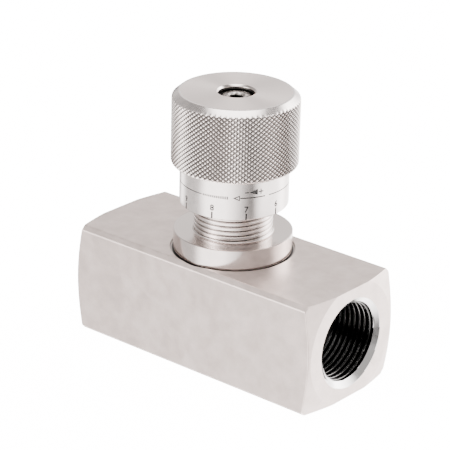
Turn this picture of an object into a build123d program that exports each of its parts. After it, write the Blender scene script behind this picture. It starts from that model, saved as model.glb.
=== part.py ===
"""Unidirectional flow control valve: bar body, threaded cartridge, knurled micrometer knob.

Frame: millimetres, origin at the centre of the body's bottom face, X along the two ports,
Z up the knob's axis. The knob is drawn five turns open, the check poppet on its seat.
"""
import os
from math import cos, radians, sin

from build123d import *

os.makedirs("parts", exist_ok=True)

# ---- driving dimensions --------------------------------------------------------------------
# Bar body
body_length = 92.0
body_width = 40.0
body_height = 35.0
long_edge_chamfer = 1.4
end_land_radius = 19.0          # round flat left on each end by the turned chamfer
end_cone_slope = 0.314          # axial setback per millimetre of radius beyond the land

# G 3/4 ports (major 26.441, minor 24.117, 14 threads per inch), drawn plain at the minor
port_radius = 24.117 / 2
port_countersink_radius = 14.1
port_depth = 18.0
port_height = body_height / 2

# Drilled passages from the port floors to the cartridge
low_passage_radius = 4.5
low_passage_height = 10.0
high_passage_radius = 4.0
high_passage_height = 22.5

# Cartridge bore in the body
nose_bore_radius = 9.5
nose_bore_floor = 9.0
nose_shoulder = 18.5
chamber_radius = 11.0
thread_shoulder = 29.0
spot_face_radius = 18.9
spot_face_depth = 0.6
spot_face_height = body_height - spot_face_depth

# M24 x 1.5 thread of the cartridge, drawn plain at its major diameter
thread_pitch = 1.5
thread_radius = 11.95
thread_bore_radius = 12.0
knob_thread_radius = 12.03
lock_collar_radius = 18.0
lock_collar_top = 41.0
lock_collar_chamfer = 0.3
lock_collar_lip = 0.35          # height of the fine lip round the sleeve
lock_collar_lip_radius = 12.4

# Cartridge sleeve
sleeve_bottom = 13.0
sleeve_top = 70.4
nose_radius = 9.45
flange_radius = 10.95
flange_bottom = 26.6
poppet_bore_radius = 6.0
seat_bore_radius = 6.9
seat_shoulder = 17.2
gland_floor = 38.0
bush_radius = 5.0
bush_top = 42.0
seal_pocket_floor = 43.0
seal_pocket_radius = 5.0
gland_plug_floor = 47.0
gland_plug_radius = 6.5
spring_chamber_floor = 51.5
spring_chamber_radius = 9.3
window_count = 6
window_radius = 3.0

# Needle, check poppet and their travels
stem_radius = 3.0
needle_tip_radius = 2.5
needle_bottom = 16.3
needle_top = 72.5
notch_top = 24.9
taper_bottom = 31.5             # the tip widens to the stem over this millimetre
taper_top = 32.5
stop_shoulder_bottom = 33.5
stop_shoulder_radius = 4.0
closing_travel = 5 * thread_pitch
opening_travel = 1 * thread_pitch
poppet_bottom = 16.0
poppet_top = 28.5
spring_cap_bottom = 68.9
spring_cap_top = 70.7
ball_radius = 2.0
ball_height = 73.9
ball_pocket_radius = 2.05

# Knob
skirt_bottom = 50.0
skirt_radius = 16.4
knurl_bottom = 63.1
knurl_top = 82.9
knurl_radius = 19.2
knob_top = 84.7
knob_flat_radius = 17.1
screw_hole_radius = 5.4
zero_screw_top = 83.3
zero_screw_length = 8.0
hex_across_flats = 4.0
hex_depth = 4.5
hex_turn = 11.25                # degrees from +X to a corner of the socket

# Fits
fit_gap = 0.05                  # radial gap of parts that only slip together
lift_gap = 0.3                  # axial gap left at each end stop


def export(part, name):
    """Label a finished solid and write it as its own STEP file."""
    part.label = name
    export_step(part, f"parts/{name}.step")


def flat_ring(outer, inner, low, high):
    """Plain ring about the Z axis between two heights."""
    with BuildPart() as ring:
        with BuildSketch(Plane.XY.offset(low)):
            Circle(outer)
            Circle(inner, mode=Mode.SUBTRACT)
        extrude(amount=high - low)
    return ring.part


def split_ring(outer, inner, low, high, gap, facing):
    """Snap ring: a flat ring with one gap, which faces the given angle."""
    with BuildPart() as ring:
        with BuildSketch(Plane.XY.offset(low)):
            Circle(outer)
            Circle(inner, mode=Mode.SUBTRACT)
            with PolarLocations(radius=outer, count=1, start_angle=facing):
                Rectangle(outer * 1.6, gap, mode=Mode.SUBTRACT)
        extrude(amount=high - low)
    return ring.part


def o_ring(mean_radius, section_radius, height):
    """O-ring about the Z axis."""
    with BuildPart(Plane.XY.offset(height)) as ring:
        Torus(mean_radius, section_radius)
    return ring.part


def coil_spring(mean_radius, wire_radius, low, high, turns):
    """Compression spring standing between two flat seats."""
    height = high - low - 2 * wire_radius
    with BuildPart() as spring:
        with BuildLine(Plane.XY.offset(low + wire_radius)) as path:
            Helix(pitch=height / turns, height=height, radius=mean_radius)
        with BuildSketch(Plane(origin=path.line @ 0, z_dir=path.line % 0)):
            Circle(wire_radius)
        sweep(is_frenet=True)
    return spring.part


# ---- body ----------------------------------------------------------------------------------
cone_reach = body_width
with BuildPart() as body_block:
    with Locations((0, 0, body_height / 2)):
        Box(body_length, body_width, body_height)
    chamfer(body_block.edges().filter_by(Axis.X), long_edge_chamfer)

    # both ends are turned to a shallow cone around a round flat land
    with BuildSketch(Plane.XZ):
        with BuildLine():
            Polyline(
                (-body_length / 2, port_height),
                (-body_length / 2, port_height + end_land_radius),
                (-body_length / 2 + end_cone_slope * cone_reach, port_height + end_land_radius + cone_reach),
                (body_length / 2 - end_cone_slope * cone_reach, port_height + end_land_radius + cone_reach),
                (body_length / 2, port_height + end_land_radius),
                (body_length / 2, port_height),
                close=True,
            )
        make_face()
    revolve(axis=Axis((0, 0, port_height), (1, 0, 0)), mode=Mode.INTERSECT)

    # one countersunk port in each end
    for side in (-1, 1):
        with Locations(Plane(origin=(side * body_length / 2, 0, port_height), z_dir=(side, 0, 0))):
            CounterSinkHole(port_radius, port_countersink_radius, port_depth, counter_sink_angle=90)

    # stepped bore for the cartridge, open at the spot face on top
    with BuildSketch(Plane.XZ):
        with BuildLine():
            Polyline(
                (0, nose_bore_floor),
                (nose_bore_radius, nose_bore_floor),
                (nose_bore_radius, nose_shoulder),
                (chamber_radius, nose_shoulder),
                (chamber_radius, thread_shoulder),
                (thread_bore_radius, thread_shoulder),
                (thread_bore_radius, spot_face_height),
                (spot_face_radius, spot_face_height),
                (spot_face_radius, body_height + 1),
                (0, body_height + 1),
                close=True,
            )
        make_face()
    revolve(axis=Axis.Z, mode=Mode.SUBTRACT)

    # low passage: left port to the space under the nose; high passage: right port to the cage
    port_floor = body_length / 2 - port_depth
    with Locations(Plane(origin=(-port_floor, 0, low_passage_height), z_dir=(-1, 0, 0))):
        Hole(low_passage_radius, depth=port_floor + low_passage_radius)
    with Locations(Plane(origin=(port_floor, 0, high_passage_height), z_dir=(1, 0, 0))):
        Hole(high_passage_radius, depth=port_floor - nose_radius)
export(body_block.part, "body_block")

# ---- lock collar ---------------------------------------------------------------------------
with BuildPart() as lock_collar:
    with BuildSketch(Plane.XY.offset(spot_face_height)):
        Circle(lock_collar_radius)
        Circle(thread_bore_radius, mode=Mode.SUBTRACT)
    extrude(amount=lock_collar_top - spot_face_height)
    top_rims = lock_collar.edges().filter_by(GeomType.CIRCLE).group_by(Axis.Z)[-1].sort_by(SortBy.RADIUS)
    chamfer(top_rims[-1], lock_collar_chamfer)
    with BuildSketch(Plane.XY.offset(lock_collar_top)):
        Circle(lock_collar_lip_radius)
        Circle(thread_bore_radius, mode=Mode.SUBTRACT)
    extrude(amount=lock_collar_lip)
export(lock_collar.part, "lock_collar")

# ---- cartridge sleeve ----------------------------------------------------------------------
nose_chamfer = 0.4
nose_groove_low, nose_groove_high = 14.8, 17.8
nose_groove_radius = 8.0
flange_groove_low, flange_groove_high = 27.0, 28.6
flange_groove_radius = 9.5
snap_groove_low, snap_groove_high = 13.4, 14.2
snap_groove_radius = 7.5
stop_ring_low, stop_ring_high = 66.0, 67.0
stop_groove_radius = 11.2
thread_chamfer = 0.6
stem_clearance = 0.4            # radial, where the stem passes a web that doesn't guide it
with BuildPart() as cartridge_sleeve:
    with BuildSketch(Plane.XZ):
        with BuildLine():
            Polyline(
                # outside, from the nose up
                (seat_bore_radius, sleeve_bottom),
                (nose_radius - nose_chamfer, sleeve_bottom),
                (nose_radius, sleeve_bottom + nose_chamfer),
                (nose_radius, nose_groove_low),
                (nose_groove_radius, nose_groove_low),
                (nose_groove_radius, nose_groove_high),
                (nose_radius, nose_groove_high),
                (nose_radius, flange_bottom),
                (flange_radius, flange_bottom),
                (flange_radius, flange_groove_low),
                (flange_groove_radius, flange_groove_low),
                (flange_groove_radius, flange_groove_high),
                (flange_radius, flange_groove_high),
                (flange_radius, thread_shoulder),
                (thread_radius, thread_shoulder),
                (thread_radius, stop_ring_low - fit_gap),
                (stop_groove_radius, stop_ring_low - fit_gap),
                (stop_groove_radius, stop_ring_high + fit_gap),
                (thread_radius, stop_ring_high + fit_gap),
                (thread_radius, sleeve_top - thread_chamfer),
                (thread_radius - thread_chamfer, sleeve_top),
                # inside, from the top down
                (spring_chamber_radius, sleeve_top),
                (spring_chamber_radius, spring_chamber_floor),
                (gland_plug_radius, spring_chamber_floor),
                (gland_plug_radius, gland_plug_floor),
                (seal_pocket_radius, gland_plug_floor),
                (seal_pocket_radius, seal_pocket_floor),
                (stem_radius + stem_clearance, seal_pocket_floor),
                (stem_radius + stem_clearance, bush_top),
                (bush_radius, bush_top),
                (bush_radius, gland_floor),
                (poppet_bore_radius, gland_floor),
                (poppet_bore_radius, seat_shoulder),
                (seat_bore_radius, seat_shoulder),
                (seat_bore_radius, snap_groove_high),
                (snap_groove_radius, snap_groove_high),
                (snap_groove_radius, snap_groove_low),
                (seat_bore_radius, snap_groove_low),
                close=True,
            )
        make_face()
    revolve(axis=Axis.Z)

    # ring of windows that joins the high passage to the poppet
    for index in range(window_count):
        angle = radians(360 / window_count * index)
        outward = (cos(angle), sin(angle), 0)
        rim = (nose_radius * cos(angle), nose_radius * sin(angle), high_passage_height)
        with Locations(Plane(origin=rim, z_dir=outward)):
            Hole(window_radius, depth=nose_radius)
export(cartridge_sleeve.part, "cartridge_sleeve")

# ---- seals, seat and stops in the cartridge --------------------------------------------------
seal_section = 0.72             # radius of the two outer O-rings' section
nose_seal_height = 15.55
backup_ring_low = 16.4
nose_o_ring = o_ring(nose_radius - seal_section - 0.01, seal_section, nose_seal_height)
export(nose_o_ring, "nose_o_ring")

nose_backup_ring = flat_ring(nose_radius, nose_groove_radius, backup_ring_low, nose_groove_high - fit_gap)
export(nose_backup_ring, "nose_backup_ring")

flange_o_ring = o_ring(flange_radius - seal_section - 0.01, seal_section,
                       (flange_groove_low + flange_groove_high) / 2)
export(flange_o_ring, "flange_o_ring")

seat_ring_bottom = snap_groove_high + fit_gap
seat_orifice_radius = 4.4
seat_chamfer = 0.6
ring_gap = 3.0                  # opening of the two snap rings
with BuildPart() as seat_ring:
    with BuildSketch(Plane.XY.offset(seat_ring_bottom)):
        Circle(seat_bore_radius)
        Circle(seat_orifice_radius, mode=Mode.SUBTRACT)
    extrude(amount=seat_shoulder - seat_ring_bottom)
    chamfer(seat_ring.edges().filter_by(GeomType.CIRCLE).group_by(Axis.Z)[-1].sort_by(SortBy.RADIUS)[0],
            seat_chamfer)
export(seat_ring.part, "seat_ring")

snap_ring_inner = 5.8
seat_snap_ring = split_ring(snap_groove_radius - fit_gap, snap_ring_inner, snap_groove_low + fit_gap,
                            snap_groove_high - fit_gap, gap=ring_gap, facing=90)
export(seat_snap_ring, "seat_snap_ring")

guide_bush = flat_ring(bush_radius, stem_radius + fit_gap, gland_floor, bush_top)
export(guide_bush, "guide_bush")

stem_seal_section = 0.95
stem_seal_height = 44.0
stem_backup_low, stem_backup_high = 45.1, 46.9
seal_gap = 0.06                 # radial gap between the stem and the plastic rings
stem_o_ring = o_ring((stem_radius + seal_pocket_radius) / 2, stem_seal_section, stem_seal_height)
export(stem_o_ring, "stem_o_ring")

stem_backup_ring = flat_ring(seal_pocket_radius, stem_radius + seal_gap, stem_backup_low, stem_backup_high)
export(stem_backup_ring, "stem_backup_ring")

wiper_pocket_radius = 4.7
wiper_floor = 49.9
wiper_height = 1.4
driver_slot_width = 1.6
driver_slot_depth = 1.2
with BuildPart() as gland_plug:
    with BuildSketch(Plane.XY.offset(gland_plug_floor)):
        Circle(gland_plug_radius)
        Circle(stem_radius + 0.1, mode=Mode.SUBTRACT)
    extrude(amount=spring_chamber_floor - gland_plug_floor)
    with BuildSketch(Plane.XY.offset(wiper_floor)):
        Circle(wiper_pocket_radius)
    extrude(amount=spring_chamber_floor - wiper_floor, mode=Mode.SUBTRACT)
    # driver slot across the top face
    with BuildSketch(Plane.XY.offset(spring_chamber_floor)):
        Rectangle(3 * gland_plug_radius, driver_slot_width)
    extrude(amount=-driver_slot_depth, mode=Mode.SUBTRACT)
export(gland_plug.part, "gland_plug")

wiper_ring = flat_ring(wiper_pocket_radius, stem_radius + seal_gap, wiper_floor, wiper_floor + wiper_height)
export(wiper_ring, "wiper_ring")

stop_ring_radius = 13.0
knob_stop_ring = split_ring(stop_ring_radius, stop_groove_radius + fit_gap, stop_ring_low, stop_ring_high,
                            gap=ring_gap, facing=90)
export(knob_stop_ring, "knob_stop_ring")

# ---- check poppet and its spring -------------------------------------------------------------
poppet_radius = poppet_bore_radius - fit_gap
poppet_nose_radius = 5.0
poppet_tip_radius = 3.6         # also the chamber above the orifice
poppet_seat_length = 1.4
poppet_skirt_bottom = 21.0
poppet_skirt_bore = 4.4
poppet_skirt_floor = 21.5
orifice_radius = needle_tip_radius + 0.06
orifice_top = 18.0
bleed_height = 19.6
bleed_radius = 1.1
bleed_count = 4
with BuildPart() as check_poppet:
    with BuildSketch(Plane.XZ):
        with BuildLine():
            Polyline(
                (orifice_radius, poppet_bottom),
                (poppet_tip_radius, poppet_bottom),
                (poppet_nose_radius, poppet_bottom + poppet_seat_length),
                (poppet_nose_radius, poppet_skirt_bottom),
                (poppet_radius, poppet_skirt_bottom),
                (poppet_radius, poppet_top),
                (poppet_skirt_bore, poppet_top),
                (poppet_skirt_bore, poppet_skirt_floor),
                (poppet_tip_radius, poppet_skirt_floor),
                (poppet_tip_radius, orifice_top),
                (orifice_radius, orifice_top),
                close=True,
            )
        make_face()
    revolve(axis=Axis.Z)
    for index in range(bleed_count):
        angle = radians(45 + 360 / bleed_count * index)
        outward = (cos(angle), sin(angle), 0)
        rim = (poppet_nose_radius * cos(angle), poppet_nose_radius * sin(angle), bleed_height)
        with Locations(Plane(origin=rim, z_dir=outward)):
            Hole(bleed_radius, depth=poppet_nose_radius)
export(check_poppet.part, "check_poppet")

check_spring = coil_spring(mean_radius=5.2, wire_radius=0.35, low=poppet_top, high=gland_floor, turns=4.5)
export(check_spring, "check_spring")

# ---- needle and what rides on it ---------------------------------------------------------------
clip_groove_radius = 2.4
clip_radius = 4.3
clip_gap = 3.6
clip_top = 71.5
cap_radius = 7.0
slide_gap = 0.02                # radial gap of the two rings that sit on the stem
end_chamfer = 0.3
with BuildPart() as needle:
    with BuildSketch(Plane.XZ):
        with BuildLine():
            Polyline(
                (0, needle_bottom),
                (needle_tip_radius - 0.2, needle_bottom),
                (needle_tip_radius, needle_bottom + 0.2),
                (needle_tip_radius, taper_bottom),
                (stem_radius, taper_top),
                (stem_radius, stop_shoulder_bottom),
                (stop_shoulder_radius, stop_shoulder_bottom),
                (stop_shoulder_radius, gland_floor - opening_travel - lift_gap),
                (stem_radius, gland_floor - opening_travel - lift_gap),
                (stem_radius, spring_cap_top),
                (clip_groove_radius, spring_cap_top),
                (clip_groove_radius, clip_top),
                (stem_radius, clip_top),
                (stem_radius, needle_top - end_chamfer),
                (stem_radius - end_chamfer, needle_top),
                (ball_pocket_radius, needle_top),
                (ball_pocket_radius, ball_height - ball_radius - fit_gap),
                (0, ball_height - ball_radius - fit_gap),
                close=True,
            )
        make_face()
    revolve(axis=Axis.Z)
    # metering notch: a slanting flat that deepens towards the tip
    with BuildSketch(Plane.XZ):
        with BuildLine():
            Polyline(
                (needle_tip_radius + 0.5, notch_top),
                (needle_tip_radius, notch_top),
                (-0.6, needle_bottom - 0.5),
                (needle_tip_radius + 0.5, needle_bottom - 0.5),
                close=True,
            )
        make_face()
    extrude(amount=needle_tip_radius + 1, both=True, mode=Mode.SUBTRACT)
export(needle.part, "needle")

spring_cap = flat_ring(cap_radius, stem_radius + slide_gap, spring_cap_bottom, spring_cap_top)
export(spring_cap, "spring_cap")

cap_clip = split_ring(clip_radius, clip_groove_radius + slide_gap, spring_cap_top, clip_top,
                      gap=clip_gap, facing=0)
export(cap_clip, "cap_clip")

with BuildPart(Plane.XY.offset(ball_height)) as thrust_ball:
    Sphere(ball_radius)
export(thrust_ball.part, "thrust_ball")

return_spring = coil_spring(mean_radius=5.5, wire_radius=0.6, low=spring_chamber_floor,
                            high=spring_cap_bottom, turns=6)
export(return_spring, "return_spring")

# ---- knob and zero screw -------------------------------------------------------------------------
knob_ceiling = sleeve_top + closing_travel + lift_gap
knob_thread_top = stop_ring_low - opening_travel - lift_gap
relief_radius = 13.4
boss_radius = 8.5
boss_bottom = 73.3
skirt_chamfer = 0.3
thread_entry = 0.8
grip_step = 0.7
hole_chamfer = 0.4
with BuildPart() as knob:
    with BuildSketch(Plane.XZ):
        with BuildLine():
            Polyline(
                # outside, from the skirt's lower edge up
                (knob_thread_radius + thread_entry, skirt_bottom),
                (skirt_radius - skirt_chamfer, skirt_bottom),
                (skirt_radius, skirt_bottom + skirt_chamfer),
                (skirt_radius, knurl_bottom - grip_step),
                (knurl_radius - grip_step, knurl_bottom - grip_step),
                (knurl_radius, knurl_bottom),
                (knurl_radius, knurl_top),
                (knob_flat_radius, knob_top),
                (screw_hole_radius + hole_chamfer, knob_top),
                (screw_hole_radius, knob_top - hole_chamfer),
                # inside, from the screw hole down
                (screw_hole_radius, boss_bottom),
                (boss_radius, boss_bottom),
                (boss_radius, knob_ceiling),
                (relief_radius, knob_ceiling),
                (relief_radius, knob_thread_top),
                (knob_thread_radius, knob_thread_top),
                (knob_thread_radius, skirt_bottom + thread_entry),
                close=True,
            )
        make_face()
    revolve(axis=Axis.Z)
export(knob.part, "knob")

screw_radius = screw_hole_radius - fit_gap
screw_chamfer = 0.7
screw_top_chamfer = 1.25
zero_screw_bottom = zero_screw_top - zero_screw_length
with BuildPart() as zero_screw:
    with BuildSketch(Plane.XY.offset(zero_screw_bottom)):
        Circle(screw_radius)
    extrude(amount=zero_screw_length)
    screw_rims = zero_screw.edges().filter_by(GeomType.CIRCLE).sort_by(Axis.Z)
    chamfer(screw_rims[0], screw_chamfer)
    chamfer(screw_rims[-1], screw_top_chamfer)
    with BuildSketch(Plane.XY.offset(zero_screw_top)):
        RegularPolygon(hex_across_flats / 2, side_count=6, major_radius=False, rotation=hex_turn)
    extrude(amount=-hex_depth, mode=Mode.SUBTRACT)
    with BuildSketch(Plane.XY.offset(zero_screw_bottom)):
        Circle(ball_pocket_radius)
    extrude(amount=ball_height + ball_radius + fit_gap - zero_screw_bottom, mode=Mode.SUBTRACT)
export(zero_screw.part, "zero_screw")
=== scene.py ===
"""Looks of the flow control valve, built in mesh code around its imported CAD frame."""
import math

import bmesh
import bpy
import numpy as np
from mathutils import Matrix, Vector


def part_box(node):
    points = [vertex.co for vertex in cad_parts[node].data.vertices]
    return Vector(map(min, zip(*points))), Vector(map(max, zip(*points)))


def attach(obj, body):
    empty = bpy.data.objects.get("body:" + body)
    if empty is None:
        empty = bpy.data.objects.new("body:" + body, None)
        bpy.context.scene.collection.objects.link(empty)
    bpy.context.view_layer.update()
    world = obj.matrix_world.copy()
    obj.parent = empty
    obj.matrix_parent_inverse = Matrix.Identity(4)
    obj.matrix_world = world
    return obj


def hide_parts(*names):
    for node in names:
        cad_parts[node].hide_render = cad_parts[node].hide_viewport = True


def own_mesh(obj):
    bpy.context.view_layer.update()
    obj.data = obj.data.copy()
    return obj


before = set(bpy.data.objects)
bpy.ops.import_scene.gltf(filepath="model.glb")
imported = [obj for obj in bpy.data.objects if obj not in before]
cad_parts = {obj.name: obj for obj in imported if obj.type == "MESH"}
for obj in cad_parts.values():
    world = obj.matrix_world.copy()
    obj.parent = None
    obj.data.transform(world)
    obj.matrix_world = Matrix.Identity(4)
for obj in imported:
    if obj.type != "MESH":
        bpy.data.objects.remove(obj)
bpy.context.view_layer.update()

MM = 0.001
TURN = 2 * math.pi

# ---- sizes, in millimetres, read from the frame where the frame has them ----


def span(node):
    """Lowest and highest corner of a CAD node, in millimetres."""
    low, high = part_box(node)
    return np.array(low) / MM, np.array(high) / MM


half_length, half_width, body_height = span("body_block")[1]
collar_low, collar_high = span("lock_collar")
sleeve_low, sleeve_high = span("cartridge_sleeve")
knob_low, knob_high = span("knob")
screw_low, screw_high = span("zero_screw")

# bar body and its ports
long_edge_chamfer = 1.4
arris = 0.3
edge_break = 0.22
land_radius = 19.0
cone_slope = 0.314
port_height = body_height / 2
port_minor = 24.117 / 2
port_major = 26.441 / 2
port_pitch = 25.4 / 14
port_flats = 0.04, 0.30         # shares of the pitch that are flat, on the crest and at the root
port_countersink = 14.1
countersink_slope = 1.6
port_depth = 18.0
spot_face_radius = 18.9
nose_bore_radius = 9.5
nose_bore_floor = 9.0
nose_shoulder = 18.5
chamber_radius = 11.0
thread_shoulder = 29.0
sleeve_bore_radius = 12.0
low_passage_radius, low_passage_height = 4.5, 10.0
high_passage_radius, high_passage_height = 4.0, 22.5

# lock collar and cartridge thread, M24 x 1.5
collar_lip = 0.35
sleeve_pitch = 1.5
sleeve_crest = 11.95
sleeve_root = 11.45
sleeve_flats = 0.5, 0.05

# knob
skirt_radius = 16.4
knurl_radius = knob_high[0]
knurl_bottom = 63.1
knurl_top = 82.9
knurl_count = 72
knurl_height_pitch = 1.35
knurl_depth = 0.42
knob_top = knob_high[2]
knob_bottom = knob_low[2]
knob_flat_radius = 17.1
knob_chamfer_slope = (knurl_radius - knob_flat_radius) / (knob_top - knurl_top)
screw_hole_radius = 5.4
knob_bore = 12.03
engraving_depth = 0.2
hex_across_flats = 4.0
hex_turn = math.radians(11.25)  # from +X to a corner of the socket


# ---- mesh building ----


def even_angles(count):
    return np.arange(count) * TURN / count


def about_z(angles, radius, height):
    """Points of a ring round the Z axis."""
    height = np.broadcast_to(height, angles.shape)
    return np.stack([radius * np.cos(angles), radius * np.sin(angles), height], 1)


def about_port(angles, radius, along):
    """Points of a ring round the ports' axis, which runs along X at mid height."""
    along = np.broadcast_to(along, angles.shape)
    return np.stack([along, radius * np.cos(angles), port_height + radius * np.sin(angles)], 1)


def curve(t, start, corner, end):
    """Point at a share t of a rounded corner."""
    return (1 - t) ** 2 * start + 2 * t * (1 - t) * corner + t ** 2 * end


def add_object(name, data):
    made = bpy.data.objects.new(name, data)
    bpy.context.scene.collection.objects.link(made)
    return made


class Shell:
    """Points and faces of one closed surface, put together from rings; starts in its first material."""

    def __init__(self, *materials):
        self.materials = materials
        self.points = []
        self.faces = []
        self.marks = []
        self.count = 0
        self.mark = 0

    def use(self, material):
        """Give the faces made from here on a material."""
        self.mark = self.materials.index(material)

    def ring(self, points):
        start = self.count
        self.points.append(np.asarray(points, float))
        self.count += len(points)
        return np.arange(start, self.count)

    def face(self, corners):
        self.faces.append([int(c) for c in corners])
        self.marks.append(self.mark)

    def strip(self, lower, upper):
        """Quads between two rings of the same count."""
        count = len(lower)
        for i in range(count):
            j = (i + 1) % count
            self.face((lower[i], lower[j], upper[j], upper[i]))

    def step_down(self, fine, coarse):
        """Flat faces between a ring and one with a whole fraction of its points."""
        ratio = len(fine) // len(coarse)
        for i in range(len(coarse)):
            j = (i + 1) % len(coarse)
            edge = [fine[(i * ratio + k) % len(fine)] for k in range(ratio + 1)]
            self.face([*edge, coarse[j], coarse[i]])

    def strips(self, rings):
        for lower, upper in zip(rings, rings[1:]):
            self.strip(lower, upper)

    def capped(self, rings):
        """Strips between rings, closed by a face at each end."""
        self.strips(rings)
        self.face(rings[0])
        self.face(rings[-1])

    def build(self, name):
        """Make the object: millimetres to metres, doubles merged, normals out."""
        mesh = bpy.data.meshes.new(name)
        mesh.from_pydata(np.concatenate(self.points) * MM, [], self.faces)
        for material in self.materials:
            mesh.materials.append(material)
        mesh.polygons.foreach_set("material_index", self.marks)
        bm = bmesh.new()
        bm.from_mesh(mesh)
        bmesh.ops.remove_doubles(bm, verts=bm.verts, dist=2e-7)
        bmesh.ops.dissolve_degenerate(bm, edges=bm.edges, dist=1e-8)
        bmesh.ops.recalc_face_normals(bm, faces=bm.faces)
        bm.to_mesh(mesh)
        bm.free()
        return add_object(name, mesh)


def softened(corners, steps=4):
    """Round the corners of a (radius, height) outline; a corner's third number is its fillet."""
    outline = []
    count = len(corners)
    for i, corner in enumerate(corners):
        here = np.array(corner[:2], float)
        fillet = corner[2] if len(corner) > 2 else 0
        if not fillet:
            outline.append(here)
            continue
        before = np.array(corners[i - 1][:2], float) - here
        after = np.array(corners[(i + 1) % count][:2], float) - here
        start = here + before / np.linalg.norm(before) * fillet
        end = here + after / np.linalg.norm(after) * fillet
        for t in np.linspace(0, 1, steps + 1):
            outline.append(curve(t, start, here, end))
    return outline


def lathe(shell, outline, angles):
    """Rings along an open outline, joined by strips."""
    rings = [shell.ring(about_z(angles, radius, height)) for radius, height in outline]
    shell.strips(rings)
    return rings


def thread_shape(phase, crest_flat, root_flat):
    """0 at the crest and 1 at the root of a thread, over one pitch, with rounded corners."""
    distance = abs((phase + 0.5) % 1 - 0.5) * 2
    t = min(max((distance - crest_flat) / (1 - crest_flat - root_flat), 0), 1)
    return t * t * (3 - 2 * t) * 0.5 + t * 0.5


def thread_rings(shell, place, angles, low, high, pitch, radius_at, samples):
    """Rows that follow a right-hand helix from low to high; radius_at(phase, height) shapes them.

    The first and last rows collapse onto the two end rings, which are returned.
    """
    row_count = int(math.ceil((high - low) / pitch * samples)) + 2 * samples + 1
    rise = pitch * angles / TURN
    rows = []
    for k in range(row_count):
        heights = low - pitch + k * pitch / samples + rise
        heights = np.clip(heights, low, high)
        phase = k / samples
        radii = np.array([radius_at(phase, height) for height in heights])
        rows.append(shell.ring(place(angles, radii, heights)))
    count = len(angles)
    for k in range(row_count - 1):
        lower, upper = rows[k], rows[k + 1]
        for i in range(count - 1):
            shell.face((lower[i], lower[i + 1], upper[i + 1], upper[i]))
        if k + 1 + samples < row_count:
            shell.face((lower[-1], rows[k + samples][0], rows[k + samples + 1][0], upper[-1]))
    return rows[0], rows[-1]


def applied(piece):
    """Bake a piece's modifiers into its mesh."""
    graph = bpy.context.evaluated_depsgraph_get()
    mesh = bpy.data.meshes.new_from_object(piece.evaluated_get(graph))
    piece.modifiers.clear()
    old = piece.data
    piece.data = mesh
    bpy.data.meshes.remove(old)
    return piece


def carve(piece, *cutters):
    """Cut closed pieces out of another and delete them."""
    for cutter in cutters:
        cut = piece.modifiers.new("cut", "BOOLEAN")
        cut.operation = "DIFFERENCE"
        cut.solver = "EXACT"
        cut.material_mode = "TRANSFER"
        cut.object = cutter
    bpy.context.view_layer.update()
    applied(piece)
    for cutter in cutters:
        bpy.data.objects.remove(cutter)
    return piece


def shade(piece, sharp_degrees=35):
    """Smooth shading that stays sharp at real edges and flat on flats."""
    piece.data.polygons.foreach_set("use_smooth", [True] * len(piece.data.polygons))
    piece.data.set_sharp_from_angle(angle=math.radians(sharp_degrees))
    weighted = piece.modifiers.new("weighted", "WEIGHTED_NORMAL")
    weighted.keep_sharp = True
    return applied(piece)


def rod(name, start, end, radius, material, count=64):
    """Straight round cutter between two points."""
    start, end = Vector(start), Vector(end)
    shell = Shell(material)
    turn = np.array((end - start).to_track_quat("Z", "Y").to_matrix())
    circle = about_z(even_angles(count), radius, 0.0) @ turn.T
    shell.capped([shell.ring(circle + np.array(point)) for point in (start, end)])
    return shell.build(name)


# ---- materials ----


def opaque(color):
    """Colour with alpha, from a colour or a grey."""
    return (*((color,) * 3 if isinstance(color, (int, float)) else color), 1)


def darker(color, share):
    return tuple(share * part for part in color)


class Nodes:
    """Short calls for building one shader tree."""

    def __init__(self, tree):
        self.tree = tree

    def feed(self, socket, value):
        """Link an output to a socket, or set the socket to a plain value."""
        if isinstance(value, bpy.types.NodeSocket):
            self.tree.links.new(value, socket)
        else:
            socket.default_value = value

    def node(self, kind, inputs=None, **settings):
        """Make a node with its settings and its inputs, which go by name or index."""
        made = self.tree.nodes.new(kind)
        for key, value in settings.items():
            setattr(made, key, value)
        for socket, value in (inputs or {}).items():
            self.feed(made.inputs[socket], value)
        return made

    def math(self, operation, *values):
        return self.node("ShaderNodeMath", dict(enumerate(values)), operation=operation).outputs[0]

    def spread(self, value, low, high):
        """Move a 0..1 value into low..high."""
        return self.node("ShaderNodeMapRange", {"Value": value, "To Min": low, "To Max": high}).outputs[0]

    def fade(self, value, start, end):
        """Soft step from 0 to 1 as a value goes from start to end."""
        inputs = {"Value": value, "From Min": start, "From Max": end}
        return self.node("ShaderNodeMapRange", inputs, interpolation_type="SMOOTHSTEP").outputs[0]

    def mix(self, share, first, second):
        """Blend of two colours; the node's two colour sockets are 6 and 7."""
        return self.node("ShaderNodeMix", {0: share, 6: first, 7: second}, data_type="RGBA").outputs[2]

    def ramp(self, value, stops):
        """Colour ramp; stops are (position, grey or colour)."""
        made = self.node("ShaderNodeValToRGB", {"Fac": value})
        elements = made.color_ramp.elements
        while len(elements) < len(stops):
            elements.new(0.5)
        for element, (position, color) in zip(elements, stops):
            element.position = position
            element.color = opaque(color)
        return made.outputs["Color"]


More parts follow.
